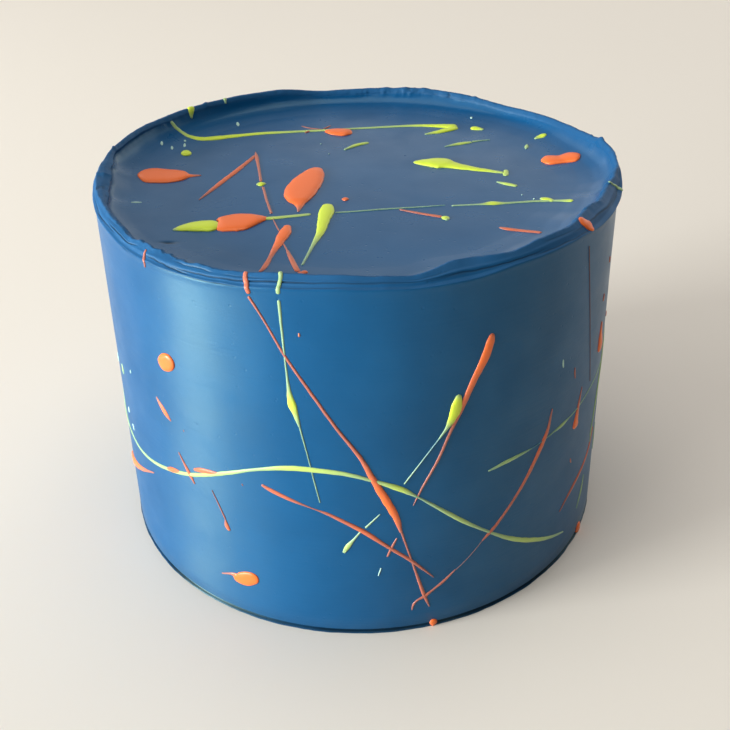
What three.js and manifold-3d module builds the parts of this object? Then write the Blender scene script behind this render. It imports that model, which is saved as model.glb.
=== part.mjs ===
// A tall round birthday cake, covered in one coat of scraped buttercream, with thin icing
// flicked and dripped over its top and side. Millimetres, +Z up, the front towards -Y.
// The cake stands on its flat underside, with the origin in the middle of it.

import * as THREE from 'three';
import { mergeVertices } from 'three/addons/utils/BufferGeometryUtils.js';
import Module from 'manifold-3d';

// Driving sizes of the coated cake
const FOOT_RADIUS = 82;
const SHOULDER_RADIUS = 79.5;
const SHOULDER_HEIGHT = 112.5;
const TOP_HEIGHT = 112.3;
const COLUMNS = 96;

// The coat's foot: a slim lip smeared out on what the cake was iced on, and a crease above it
const LIP_RADIUS = 82.6;
const LIP_HEIGHT = 0.6;
const CREASE_RADIUS = 81.4;
const CREASE_HEIGHT = 1.2;
const CREASE_TOP = 2.2;

// The rim: icing pushed up past the top when the side was scraped, then folded inwards.
// The fold starts at a ridge, and the further in the crest lies the lower the ridge is.
const RIDGE_DROP = 0.9;
const RIDGE_DROP_FOR_INSET = 0.62;
const RIDGE_STEP_HEIGHT = 0.4;
const RIDGE_STEP_SHARE = 0.2;
const CREASE_SHARE = 0.45;
const CREASE_RISE_SHARE = 0.55;
const SECOND_FOLD_SHARE = 0.6;
const SECOND_FOLD_HEIGHT = 0.2;
const CREST_ROUNDING = 0.2;
const CREST_INNER_DROP = 1.6;
const RAGGED_HEIGHT = 0.5;
const RAGGED_INSET = 0.5;
const RIM_SEED = 7;
const CREST_ROW = 11;
const INNER_EDGE_ROW = 13;

// Icing strokes
const THREAD_SIDES = 3;
const STROKE_SIDES = 6;
const STROKE_WIDTH = 2.9;
const BROAD_STROKE_SIDES = 8;
const BROAD_STROKE_WIDTH = 6;
const THIN_STROKE_HEIGHT = 0.4;
const HEIGHT_FOR_WIDTH = 0.13;
const GREATEST_STROKE_HEIGHT = 1.1;
const SUNK_DEPTH = 0.7;
const SHORT_STROKE_STATIONS = 4;
const END_REACH = 0.45;
const DIRECTION_STEP = 0.01;
const WIDEST_CORNER = Math.sin(Math.PI / 3);

// Inside the rim a soft cove leads down to the level top: distance inwards from the rim's
// inner edge, and height above the top
const coveSteps = [[1.8, 2.7], [4.6, 1.3], [9.5, 0.45], [16, 0]];

// The rim all the way round: [turn, inset of the crest, height of the crest, breadth of the
// sheet from there inwards, how far its ridge stands out]. A turn is in degrees from the
// front, towards +X when it is above zero.
const rimStations = [
  [-172, 1.2, 117.8, 1.7, 0.35], [-158, 1.0, 119.9, 1.7, 0.35], [-145, 1.0, 120.2, 1.7, 0.35],
  [-134, 0.9, 120.3, 1.7, 0.35], [-125, 0.7, 120.3, 1.7, 0.35], [-116, 0.2, 120.4, 1.7, 0.35],
  [-108, 0.0, 120.2, 1.7, 0.35], [-100, 0.0, 119.8, 1.7, 0.35], [-93, 0.1, 119.4, 3.4, 0.35],
  [-85, 0.3, 118.9, 4.8, 0.35], [-78, 1.0, 118.4, 3.8, 0.35], [-70, 2.0, 118.2, 1.7, 0.35],
  [-62, 2.3, 118.2, 1.7, 0.35], [-50, 2.4, 117.0, 1.7, 0.35], [-41, 2.8, 117.3, 1.7, 0.35],
  [-31, 2.4, 117.3, 1.7, 0.35], [-23, 2.7, 118.0, 1.7, 0.35], [-14, 2.9, 119.0, 1.7, 0.35],
  [-4, 2.6, 119.3, 1.7, 0.35], [4, 2.4, 118.8, 1.7, 0.35], [10, 2.3, 118.3, 1.7, 0.35],
  [20, 4.4, 119.8, 1.7, 0.35], [31, 2.5, 119.6, 1.7, 0.35], [40, 3.1, 119.9, 1.7, 0.35],
  [48, 2.8, 119.5, 1.7, 0.35], [59, 4.6, 119.3, 1.7, 0.5], [66, 3.4, 118.6, 1.7, 0.8],
  [73, 2.9, 118.6, 1.7, 1.1], [79, 1.3, 118.8, 1.7, 1], [85, -0.4, 119.1, 1.7, 0.8],
  [92, -1.0, 119.6, 1.7, 0.6], [99, -0.3, 119.9, 1.7, 0.35], [104, 0.6, 119.0, 1.7, 0.35],
  [110, 1.1, 118.5, 1.7, 0.35], [118, 1.0, 118.0, 1.7, 0.35], [136, 1.0, 117.2, 1.7, 0.35],
  [151, 1.2, 118.3, 1.7, 0.35], [164, 1.0, 119.0, 1.7, 0.35], [177, 1.2, 117.9, 1.7, 0.35],
];

// Strokes on the top: stations of [x, y, width] along each one
const topStrokes = [
  // Orange slash at the left, blunt at one end
  [[-70.2, 7.4, 6], [-67.2, 8.4, 10.6], [-62, 9.1, 11.4], [-56, 9, 7.6], [-50, 8.5, 1.6]],
  // Orange bar, and the thread that leaves its end
  [[-47.5, -11, 1.1], [-44, -1.5, 1.8], [-39, 11, 2.1], [-33.6, 25, 1.9]],
  [[-33.4, 25.5, 1.2], [-31.5, 13, 1], [-30, 2, 0.9]],
  [[-31.2, 0, 1.6], [-29.7, 0, 3.4], [-28.2, 0, 1.6]],
  [[-29, -2.5, 0.9], [-27, -13.5, 1], [-25, -23, 1]],
  [[-19, -48, 0.9], [-17.4, -54, 1.6], [-15.5, -61.1, 1.6]],
  // Orange petal
  [[-17.2, -22, 1.2], [-17.3, -16.5, 4], [-17.5, -11.5, 7.4], [-17.2, -6.5, 10.2],
    [-16, -0.5, 11], [-14.2, 5.5, 9.4], [-12.6, 11.5, 4]],
  // Lime streak with an orange blob in its middle
  [[-52.4, -33.4, 1], [-49.5, -31.2, 4.8], [-45.5, -30.6, 6.8], [-39, -30.3, 6.2]],
  [[-40, -30.6, 8], [-37, -29.2, 11], [-33, -27.8, 12.8], [-30.5, -27.2, 9], [-28, -27, 2]],
  [[-28.5, -27, 2.3], [-21, -25.6, 2.3], [-13.4, -24, 1.8]],
  // Lime and orange teardrops that run to the front rim
  [[-8.6, -17, 2.4], [-8.8, -22, 4.4], [-9.5, -28, 3.9], [-10.2, -36, 2.7], [-12.1, -45, 1.5],
    [-14.6, -57, 0.9]],
  [[-19.7, -31.5, 1.6], [-20.3, -36.5, 3.2], [-21.6, -43, 2.7], [-23.4, -52, 1.4],
    [-24.4, -58, 1.7], [-25.5, -61.1, 1.1]],
  // Long lime wave along the back, which folds back on itself
  [[-64.8, 43.6, 1.1], [-61.6, 43.6, 1.5], [-58.7, 42.2, 2], [-54.7, 41, 2.8],
    [-49.4, 41.8, 3.3], [-44.7, 43.7, 3.2], [-34.5, 46.5, 2.9], [-23.8, 47.6, 2.5],
    [-11, 48.6, 2.4], [6, 50.2, 2.4], [21.7, 51.3, 2.8], [36, 49.2, 4.4]],
  [[36, 48.4, 2.6], [31, 45.2, 3.6], [24, 42, 1.5]],
  [[-58.9, 27.9, 3], [-57.1, 28.1, 4.6], [-55.4, 28.4, 3]],
  [[-11, 48, 2], [-7.6, 46.7, 6.2], [-3.6, 45.4, 6], [-1.3, 44.5, 3]],
  // Short lime strokes
  [[-4, 28.5, 1.4], [0.4, 33, 3.6], [4.4, 35, 1.4]],
  [[30.5, 30, 1.7], [35, 32.3, 4], [39.6, 33.5, 2.2]],
  [[40.6, 47.6, 2.6], [42.1, 46.8, 3], [44.9, 45.1, 1.2]],
  [[60.9, 33.4, 1], [63.2, 34.7, 2.5], [65.2, 35.2, 2]],
  [[57.7, 29.7, 1], [57.3, 27.6, 1.8], [56.9, 25.7, 1]],
  [[43.4, -2.7, 1.5], [46.2, -4.5, 3.4], [49.4, -6.5, 1.5]],
  // Orange sausage
  [[59.9, 15.8, 5.6], [62.9, 15.3, 7.8], [66.7, 14.9, 8.4], [70.4, 14.6, 7.4], [72.4, 14, 4.8]],
  // Lime leaf, long tailed, with a bar across its end
  [[18.6, 15.6, 2.4], [22.7, 14.9, 5.9], [27.6, 14, 8.2], [31, 12, 5.4], [36, 9.2, 4.2],
    [41, 7, 3.6], [46.8, 4.5, 2.4]],
  [[47.7, 7, 1.5], [47.3, 4.4, 1.9], [46.9, 2, 1.5]],
  // Long lime thread at the right, with beads in it
  [[28, -20.4, 1], [36.5, -19.8, 1.2], [40.2, -19.3, 3.2], [44, -19.3, 1.6], [54, -18.4, 1.5],
    [60.2, -18.9, 1.6], [64, -19.8, 2.4]],
  [[54.7, -16.3, 1.2], [56.5, -17.3, 2.5], [58.5, -18.9, 1.5]],
  // Orange threads at the front right
  [[12.5, -22.2, 1], [18.4, -25.3, 2], [24.6, -28.2, 2.8]],
  [[24, -28.5, 1.6], [25.2, -29, 3.3], [26.2, -29, 1.8]],
  [[40, -36.2, 1.2], [42, -37.3, 2.6], [46, -38.9, 1.8], [51.1, -41.3, 1.2]],
  [[-4.7, -13.5, 1.6], [-3.4, -13.6, 3.2], [-2, -13.7, 1.6]],
];

// Strokes on the side: stations of [turn, height, width] along each one
const sideStrokes = [
  // Long orange throw from the rim to the foot, fattest half way down
  [[-20, 113, 1.3], [-17.4, 107, 1.3], [-13.7, 97, 1.3], [-9, 86, 1.3], [-4.5, 75.3, 1.4],
    [-0.3, 66, 1.6], [1.8, 59.4, 2.1], [4.2, 52, 2.7], [6.4, 45, 2.3], [7.5, 39, 1]],
  [[7.4, 40, 0.9], [9.8, 27, 0.9], [12.4, 13.2, 1.2], [13.7, 8, 0.9]],
  [[14, 3, 1.4], [14.5, 2.4, 2.6], [15, 2.4, 1.4]],
  // Lime throw beside it
  [[-14.2, 113, 1.1], [-14, 104.6, 1], [-13.5, 92, 1.1], [-12.7, 84, 2.3], [-12.1, 79, 2],
    [-11.7, 74, 1]],
  // Orange drops at the left
  [[-41.6, 87, 4.6], [-41.8, 84.7, 7.4], [-42, 82.2, 4.6]],
  [[-47, 69, 2], [-45.2, 67, 3.6], [-43.2, 64.6, 1.8]],
  // Lime wave right round the front
  [[-78, 46, 1.6], [-70, 42, 2], [-61, 40.7, 2.4], [-54, 41.7, 2.4], [-47.3, 44, 2.2],
    [-38.5, 48, 2.1], [-27.6, 54.9, 1.9], [-21.9, 58.4, 1.4], [-14, 61.3, 2.4],
    [-4, 60.8, 2.1], [2, 58.2, 1.6], [7.5, 54.5, 2.6], [10.9, 51, 1], [14, 47.3, 1.1],
    [20, 39.6, 1.6], [25.8, 32.6, 1], [33, 24.6, 1.6], [39.4, 19, 1.6], [46.2, 14, 1.2],
    [52, 10.6, 0.8]],
  // Short orange pieces near its left end
  [[-66, 29, 3.4], [-61, 32, 2], [-54.5, 36.5, 1]],
  [[-41.5, 54, 1.4], [-39.5, 49.8, 2.8], [-37.5, 45.5, 1.5]],
  [[-30, 36, 1.4], [-29.8, 34.4, 2.8], [-29.6, 32.7, 1.4]],
  [[-32.5, 13.6, 1.2], [-29.6, 15, 2.4], [-27.6, 14.9, 5], [-25.6, 16, 5.6], [-23.6, 17.2, 4]],
  // Orange throw low at the front
  [[-20.5, 53.7, 1.1], [-18.3, 52.3, 2], [-14, 50, 1.9], [-10, 48, 1], [-7, 46.4, 1.7],
    [-2.9, 43, 1.8], [0, 40.2, 2], [4, 35.2, 1.6], [9.2, 28.4, 1.3], [12, 24, 0.8]],
  [[-4, 32.7, 1.6], [-3, 35.4, 2.2], [-1.3, 38.8, 1.3], [0.3, 41.6, 1]],
  // Orange and lime throws at the right of the front
  [[25.6, 99, 1.6], [25.2, 96.5, 2.8], [24.4, 93, 3], [23.2, 89.5, 2.4], [21.9, 86, 1.9],
    [19.6, 78.3, 1.5], [17.4, 71.5, 1.3], [14.9, 62.8, 1.1], [11.7, 54, 1]],
  [[18.9, 82.8, 1.6], [18.7, 80.6, 3.1], [18.3, 78, 3.7], [17.6, 75.4, 2.3], [16.4, 72.5, 1.2]],
  // Orange arc at the right
  [[43, 65, 1.2], [42, 59, 2.2], [40.1, 54.6, 2.3], [36.5, 46, 2.3], [32.5, 38.7, 2.3],
    [29.9, 34.2, 2], [27.6, 31.8, 2.9], [25.3, 29, 1]],
  [[19, 20.2, 1], [15.8, 16.6, 2], [12.4, 13.3, 2], [10.7, 11.6, 1]],
  // Lime and orange pieces towards the right edge
  [[50, 57.2, 1.2], [47.1, 56.8, 2.6], [43.9, 56.3, 2.1], [40.6, 56.1, 1], [35.1, 55, 1],
    [30, 54.5, 1.2], [26, 54.2, 0.8]],
  [[55, 64, 1.3], [53.8, 58.5, 2], [53.1, 54.5, 3.4], [53, 51.5, 3.6]],
  [[68, 79, 1.6], [68.6, 74, 3.6], [69, 70, 4.6]],
  [[74, 44, 1.6], [71, 35, 2], [67, 29, 2], [61.6, 27, 2], [55.6, 24.8, 1.6], [51, 23.4, 1]],
  [[61.5, 5.6, 2.6], [62.4, 3.4, 3.6], [62.8, 2.4, 2.6]],
];

// Strokes over the rim: stations of [turn, distance inwards from the crest, width]
const rimStrokes = [
  [[51.2, -0.2, 2.6], [52.4, -2.6, 3.4], [53.6, -5.2, 2.8]],
  [[76.5, 0.2, 1], [77, -2, 1.3], [77.4, -3.4, 1.3], [77, -4.4, 1.1]],
  [[-132.4, -0.6, 3], [-131.3, 2.5, 2], [-130.9, 4.3, 0.8]],
  [[-21.2, 0.3, 1.2], [-20.9, -1.5, 1.3], [-20.3, -3.3, 1.3], [-19.8, -6.2, 1.3]],
  [[-14.4, 0.8, 1.1], [-14, -1.6, 1.1], [-14.1, -3.4, 1.1], [-14.2, -6, 1.1]],
];

// Splashes on the far side: a second set of throws by the same hand
const FAR_SIDE_SPREAD = 1.28;
const FAR_SIDE_TURN_SHIFT = 9;
const FAR_SIDE_HEIGHT_SHIFT = 7;
const FAR_SIDE_SEED = 20;
const FAR_SIDE_LEAST_WIDTH = 2.1;
const LOWEST_STATION = 4;
const HIGHEST_STATION = 112;

const radians = THREE.MathUtils.degToRad;

// A point at a turn, a distance from the axis and a height
function onCake(turn, radius, height) {
  return new THREE.Vector3(radius * Math.sin(turn), -radius * Math.cos(turn), height);
}

// Repeatable numbers from -1 to 1
function seededNumbers(seed) {
  const MODULUS = 2147483647;
  const MULTIPLIER = 16807;
  let state = seed;
  return () => {
    state = (state * MULTIPLIER) % MODULUS;
    return (2 * state) / MODULUS - 1;
  };
}

function wallRadius(height) {
  return THREE.MathUtils.lerp(FOOT_RADIUS, SHOULDER_RADIUS, height / SHOULDER_HEIGHT);
}

// The values of the rim at a turn, eased between the two nearest stations
function smoothRimAt(turnInDegrees) {
  const turn = THREE.MathUtils.euclideanModulo(turnInDegrees + 180, 360) - 180;
  const last = rimStations.length - 1;
  const next = rimStations.findIndex(([stationTurn]) => stationTurn > turn);
  const after = next === -1 ? 0 : next;
  const before = after === 0 ? last : after - 1;
  const [turnBefore, ...valuesBefore] = rimStations[before];
  const [turnAfter, ...valuesAfter] = rimStations[after];
  const gap = THREE.MathUtils.euclideanModulo(turnAfter - turnBefore, 360);
  const travelled = THREE.MathUtils.euclideanModulo(turn - turnBefore, 360);
  const share = THREE.MathUtils.smoothstep(travelled / gap, 0, 1);
  return valuesBefore.map((value, index) => THREE.MathUtils.lerp(value, valuesAfter[index], share));
}

// The ragged rim, one set of values for each column of the coat
const nextRaggedNumber = seededNumbers(RIM_SEED);
const rimColumns = Array.from({ length: COLUMNS }, (_, column) => {
  const [inset, height, ...others] = smoothRimAt((360 * column) / COLUMNS);
  return [
    inset + RAGGED_INSET * nextRaggedNumber(),
    height + RAGGED_HEIGHT * nextRaggedNumber(),
    ...others,
  ];
});

function rimAt(turn) {
  const place = (COLUMNS * THREE.MathUtils.euclideanModulo(turn, 2 * Math.PI)) / (2 * Math.PI);
  const column = Math.floor(place) % COLUMNS;
  const share = place - Math.floor(place);
  const there = rimColumns[(column + 1) % COLUMNS];
  return rimColumns[column].map((value, index) => THREE.MathUtils.lerp(value, there[index], share));
}

// The coat's outline at one turn, from the middle of the underside to the middle of the top
function outlineAt(turn) {
  const [inset, crestHeight, breadth, ridgeStandsOut] = rimAt(turn);
  const crestRadius = SHOULDER_RADIUS - inset;
  const ridgeHeight = crestHeight - RIDGE_DROP - RIDGE_DROP_FOR_INSET * Math.max(inset, 0);
  const creaseHeight = THREE.MathUtils.lerp(ridgeHeight, crestHeight, CREASE_RISE_SHARE);
  const innerEdge = crestRadius - breadth;
  return [
    [0, 0],
    [LIP_RADIUS, 0],
    [LIP_RADIUS, LIP_HEIGHT],
    [CREASE_RADIUS, CREASE_HEIGHT],
    [wallRadius(CREASE_TOP), CREASE_TOP],
    [wallRadius(SHOULDER_HEIGHT / 2), SHOULDER_HEIGHT / 2],
    [SHOULDER_RADIUS, SHOULDER_HEIGHT],
    [SHOULDER_RADIUS + ridgeStandsOut, ridgeHeight],
    [SHOULDER_RADIUS - RIDGE_STEP_SHARE * inset, ridgeHeight + RIDGE_STEP_HEIGHT],
    [SHOULDER_RADIUS - CREASE_SHARE * inset, creaseHeight],
    [SHOULDER_RADIUS - SECOND_FOLD_SHARE * inset, creaseHeight + SECOND_FOLD_HEIGHT],
    [crestRadius, crestHeight],
    [crestRadius - breadth / 2, crestHeight - CREST_ROUNDING],
    [innerEdge, crestHeight - CREST_INNER_DROP],
    ...coveSteps.map(([inwards, height]) => [innerEdge - inwards, TOP_HEIGHT + height]),
    [0, TOP_HEIGHT],
  ];
}

// A geometry with shared corners and nothing but positions
function weld(geometry) {
  geometry.deleteAttribute('normal');
  geometry.deleteAttribute('uv');
  return mergeVertices(geometry);
}

// The scraped coat, turned round the axis and then made ragged along its rim
function coatGeometry() {
  const profile = outlineAt(0).map(([radius, height]) => new THREE.Vector2(radius, height));
  const geometry = new THREE.LatheGeometry(profile, COLUMNS);
  const positions = geometry.getAttribute('position');
  for (let column = 0; column <= COLUMNS; column++) {
    const turn = (column / COLUMNS) * 2 * Math.PI;
    const outline = outlineAt(turn);
    outline.forEach(([radius, height], row) => {
      const point = onCake(turn, radius, height);
      positions.setXYZ(column * outline.length + row, point.x, point.y, point.z);
    });
  }
  return weld(geometry);
}

function widestOf(stations) {
  return Math.max(...stations.map(([, , width]) => width));
}

function sidesForWidth(width) {
  if (width > BROAD_STROKE_WIDTH) {
    return BROAD_STROKE_SIDES;
  }
  return width > STROKE_WIDTH ? STROKE_SIDES : THREAD_SIDES;
}

// A stroke of icing: a spindle laid along its stations, rounded on top and sunk below.
// Its place is given by a function of distance along, distance across and height above.
function strokeGeometry(stations, place) {
  const path = new THREE.CatmullRomCurve3(stations.map((station) => new THREE.Vector3(...station)));
  const gaps = stations.length - 1;
  const steps = stations.length <= SHORT_STROKE_STATIONS ? 2 * gaps : gaps;
  const sides = sidesForWidth(widestOf(stations));
  const profile = [new THREE.Vector2(0, 0)];
  for (let step = 0; step <= steps; step++) {
    profile.push(new THREE.Vector2(1, step / steps));
  }
  profile.push(new THREE.Vector2(0, 1));
  const geometry = weld(new THREE.LatheGeometry(profile, sides));
  const positions = geometry.getAttribute('position');
  const corner = new THREE.Vector3();
  for (let index = 0; index < positions.count; index++) {
    corner.fromBufferAttribute(positions, index);
    const middle = path.getPoint(corner.y);
    const ahead = path.getPoint(Math.min(corner.y + DIRECTION_STEP, 1));
    const behind = path.getPoint(Math.max(corner.y - DIRECTION_STEP, 0));
    const direction = new THREE.Vector2(ahead.x - behind.x, ahead.y - behind.y).normalize();
    const width = middle.z;
    const isTip = Math.hypot(corner.x, corner.z) < 0.5;
    const reach = isTip ? END_REACH * width * Math.sign(corner.y - 0.5) : 0;
    const tall = Math.min(THIN_STROKE_HEIGHT + HEIGHT_FOR_WIDTH * width, GREATEST_STROKE_HEIGHT);
    const spread = sides === THREAD_SIDES ? (tall + 0.5 * SUNK_DEPTH) / tall : 1;
    const sideways = (corner.x * spread * width) / (2 * WIDEST_CORNER);
    let above = corner.z > 0 ? corner.z * tall : corner.z * SUNK_DEPTH;
    if (isTip) {
      above = -0.5 * SUNK_DEPTH;
    }
    const point = place(
      middle.x + direction.x * reach + direction.y * sideways,
      middle.y + direction.y * reach - direction.x * sideways,
      above,
    );
    positions.setXYZ(index, point.x, point.y, point.z);
  }
  return geometry;
}

// The height of the top at a point, where it may rise towards the rim
function topHeightAt(x, y) {
  const radius = Math.hypot(x, y);
  const outline = outlineAt(Math.atan2(x, -y));
  const row = outline.findIndex(([rowRadius], index) => index > INNER_EDGE_ROW && rowRadius <= radius);
  const [[outerRadius, outerHeight], [innerRadius, innerHeight]] = outline.slice(row - 1, row + 1);
  return THREE.MathUtils.mapLinear(
    Math.min(radius, outerRadius), innerRadius, outerRadius, innerHeight, outerHeight,
  );
}

function placeOnTop(x, y, above) {
  return new THREE.Vector3(x, y, topHeightAt(x, y) + above);
}

// Distances round the side are measured at the shoulder
function placeOnSide(around, height, above) {
  return onCake(around / SHOULDER_RADIUS, wallRadius(height) + above, height);
}

// A distance inwards along the outline, from the crest, or outwards when it is below zero
function placeOnRim(around, inwards, above) {
  const turn = around / SHOULDER_RADIUS;
  const outline = outlineAt(turn).map(([radius, height]) => new THREE.Vector2(radius, height));
  const step = inwards < 0 ? -1 : 1;
  let row = CREST_ROW;
  let left = Math.abs(inwards);
  while (left > outline[row].distanceTo(outline[row + step])) {
    left -= outline[row].distanceTo(outline[row + step]);
    row += step;
  }
  const direction = outline[row + step].clone().sub(outline[row]).normalize();
  const point = outline[row].clone().addScaledVector(direction, left);
  const outwardsNormal = new THREE.Vector2(direction.y, -direction.x).multiplyScalar(step);
  point.addScaledVector(outwardsNormal, above);
  return onCake(turn, point.x, point.y);
}

function turnsToDistances(stations) {
  return stations.map(([turn, level, width]) => [radians(turn) * SHOULDER_RADIUS, level, width]);
}

// The far side's strokes: the front's, spread round the back, upside down and shifted
function farSideStrokes() {
  const nextNumber = seededNumbers(FAR_SIDE_SEED);
  const thickStrokes = sideStrokes.filter((stations) => widestOf(stations) > FAR_SIDE_LEAST_WIDTH);
  return thickStrokes.map((stations) => {
    const turnShift = FAR_SIDE_TURN_SHIFT * nextNumber();
    const heightShift = FAR_SIDE_HEIGHT_SHIFT * nextNumber();
    return stations.map(([turn, height, width]) => {
      const flipped = HIGHEST_STATION + LOWEST_STATION - height + heightShift;
      return [
        180 + FAR_SIDE_SPREAD * turn + turnShift,
        THREE.MathUtils.clamp(flipped, LOWEST_STATION, HIGHEST_STATION),
        width,
      ];
    });
  });
}

const wasm = await Module();
wasm.setup();

function toSolid(geometry) {
  const vertProperties = Float32Array.from(geometry.getAttribute('position').array);
  const triVerts = Uint32Array.from(geometry.getIndex().array);
  return new wasm.Manifold(new wasm.Mesh({ numProp: 3, vertProperties, triVerts }));
}

function toGeometry(solid) {
  const { vertProperties, triVerts } = solid.getMesh();
  const geometry = new THREE.BufferGeometry();
  geometry.setAttribute('position', new THREE.BufferAttribute(vertProperties, 3));
  geometry.setIndex(new THREE.BufferAttribute(triVerts, 1));
  return geometry;
}

function cakeGeometry() {
  const strokes = [
    ...topStrokes.map((stations) => strokeGeometry(stations, placeOnTop)),
    ...sideStrokes.map((stations) => strokeGeometry(turnsToDistances(stations), placeOnSide)),
    ...farSideStrokes().map((stations) => strokeGeometry(turnsToDistances(stations), placeOnSide)),
    ...rimStrokes.map((stations) => strokeGeometry(turnsToDistances(stations), placeOnRim)),
  ];
  const coat = toSolid(coatGeometry());
  return toGeometry(strokes.reduce((cake, stroke) => cake.add(toSolid(stroke)), coat));
}

const buttercream = new THREE.MeshStandardMaterial({ color: 0x1f5f94, roughness: 0.4, metalness: 0 });

const cake = new THREE.Mesh(cakeGeometry(), buttercream);
cake.name = 'cake';

const group = new THREE.Group();
group.add(cake);

export default group;
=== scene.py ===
import bisect
import math

import bmesh
import bpy
from mathutils import Matrix, Vector, noise


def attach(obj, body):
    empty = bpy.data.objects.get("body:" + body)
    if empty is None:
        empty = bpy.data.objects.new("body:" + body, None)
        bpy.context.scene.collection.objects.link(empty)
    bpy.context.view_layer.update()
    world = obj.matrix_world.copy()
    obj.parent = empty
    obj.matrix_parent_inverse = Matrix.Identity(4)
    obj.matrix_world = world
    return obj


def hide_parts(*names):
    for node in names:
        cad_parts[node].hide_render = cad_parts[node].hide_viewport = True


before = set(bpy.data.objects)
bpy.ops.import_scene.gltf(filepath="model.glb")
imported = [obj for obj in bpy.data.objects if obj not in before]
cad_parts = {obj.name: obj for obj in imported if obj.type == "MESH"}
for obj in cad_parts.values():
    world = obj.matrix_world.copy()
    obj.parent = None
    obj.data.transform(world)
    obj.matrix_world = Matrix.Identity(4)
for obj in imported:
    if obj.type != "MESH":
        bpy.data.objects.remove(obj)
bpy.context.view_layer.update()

# The camera stands in front of the cake and looks down on it, turned a little about its own
# line of sight. Metres and degrees.
CAMERA_TARGET = Vector((0.00138, 0, 0.04438))
CAMERA_DISTANCE = 0.344
CAMERA_ELEVATION = math.radians(32.49)
CAMERA_ROLL = math.radians(-1.3)
CAMERA_LENS = 48.52

camera = bpy.data.objects.new("camera", bpy.data.cameras.new("camera"))
camera.data.lens = CAMERA_LENS
camera_back = Vector((0, -math.cos(CAMERA_ELEVATION), math.sin(CAMERA_ELEVATION)))
camera.matrix_world = (
    Matrix.Translation(CAMERA_TARGET + CAMERA_DISTANCE * camera_back)
    @ Matrix.Rotation(math.pi / 2 - CAMERA_ELEVATION, 4, "X")
    @ Matrix.Rotation(CAMERA_ROLL, 4, "Z")
)
bpy.context.scene.collection.objects.link(camera)
bpy.context.scene.camera = camera

# Buttercream coat. One coat of deep blue buttercream covers the whole cake, scraped smooth on
# a turntable. The scraper leaves a slim lip and a crease at the foot, and a ragged rim that
# rose past the top and folded inwards in overlapping sheets. Its sizes are in millimetres.
FOOT_RADIUS = 82
SHOULDER_RADIUS = 79.5
SHOULDER_HEIGHT = 112.5
TOP_HEIGHT = 112.3
MILLIMETRE = 0.001

# The lip and the crease at the foot. Points of the lip are outwards from its radius and
# upwards from the floor, and points of the crease are outwards and upwards from its bottom.
# The painted shade along the crease is placed by its share of the way from the lip to the wall.
LIP_RADIUS = 82.2
LIP_POINTS = [(-0.25, 0), (0, 0.2), (-0.25, 0.45)]
CREASE_RADIUS = 81.2
CREASE_HEIGHT = 0.9
CREASE_POINTS = [(0.2, -0.3), (0, 0), (0.1, 0.35)]
CREASE_TOP = 1.8
CREASE_SHADE_PLACE = 0.47
CREASE_SHADE_REACH = 0.38

# The outside of the rim, from under the ridge up to the crest. Shares are of how far the
# ridge stands out, of the crest's inset, and of the height from the ridge to the crest.
UNDER_RIDGE_DROP = 1.6
UNDER_RIDGE_SHARE = 0.2
RIDGE_DROP = 0.9
RIDGE_DROP_FOR_INSET = 0.62
RIDGE_STEP_HEIGHT = 0.4
RIDGE_STEP_SHARE = 0.2
CREASE_SHARE = 0.45
CREASE_RISE_SHARE = 0.55
SECOND_FOLD_SHARE = 0.6
SECOND_FOLD_HEIGHT = 0.2
BEVEL_LENGTH = 5
CORNER_REACH = 0.22

# The rim is ragged from column to column, as the solid's is
COLUMNS = 96
RAGGED_HEIGHT = 0.5
RAGGED_INSET = 0.5
RIM_SEED = 7

# The rim's inner edge, below and inwards of the crest
EDGE_MIDDLE_SHARE = 0.45
EDGE_MIDDLE_DROP = 0.15
EDGE_CORNER_INSET = 0.2
EDGE_CORNER_DROP = 1.2
RIM_EDGE_DEPTH = 1.9
EDGE_OVERHANG = 0.9
COVE_OVERHANG = 0.7

# The soft cove inside the rim: distance inwards from the rim's inner edge, and share of that
# edge's height above the level top
COVE = [(0.9, 0.66), (2.4, 0.42), (5, 0.22), (9.5, 0.08), (16, 0)]

# What the hand leaves uneven: layers of soft lumps, each with a height and a size
LIP_SMEARS = [(0.18, 9), (0.1, 2.5)]
# How much the painted shade in the foot's crease varies round the cake
CREASE_SHADE_CHANGES = [(0.4, 13)]
SWELLS = [(0.09, 27), (0.03, 9)]
GRAIN = [(0.05, 0.8)]
INSET_TEARS = [(0.42, 1.9), (0.22, 0.8)]
CREST_TEARS = [(0.2, 2.3)]
TORN_LUMPS = [(1, 2.6), (0.6, 1.1)]
FINE_TEARS = [(0.14, 0.5)]
ELSEWHERE = Vector((0, 0, 9))

# How much of these shows where: swells on the side and the top, wrinkles and grain on the
# rim, and lumps and gaps on its torn edge
FULL_SWELL_HEIGHT = 8
TOP_SWELL = 1.3
WRINKLE_HEIGHT = 0.1
WRINKLE_LENGTH = 3.2
WRINKLE_BREADTH = 0.9
RIM_WRINKLES = 0.6
BEVEL_GRAIN = 0.4
EDGE_GRAIN = 0.7
COVE_GRAIN = 0.4
COVE_GRAIN_FADE = 3
TORN_HEIGHT = 0.32
# Gaps in the torn edge sink and are darkened by painted shade
GAP_START = 0.45
GAP_BLEND = 0.3
GAP_DEPTH = 0.3

# Pits where a crumb was dragged out, darkened by painted shade: x, y, half length, half breadth
PITS = [(-52.2, -41.7, 2.2, 0.7), (-43, -63.5, 0.9, 0.8)]
PIT_DEPTH = 0.35

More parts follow.
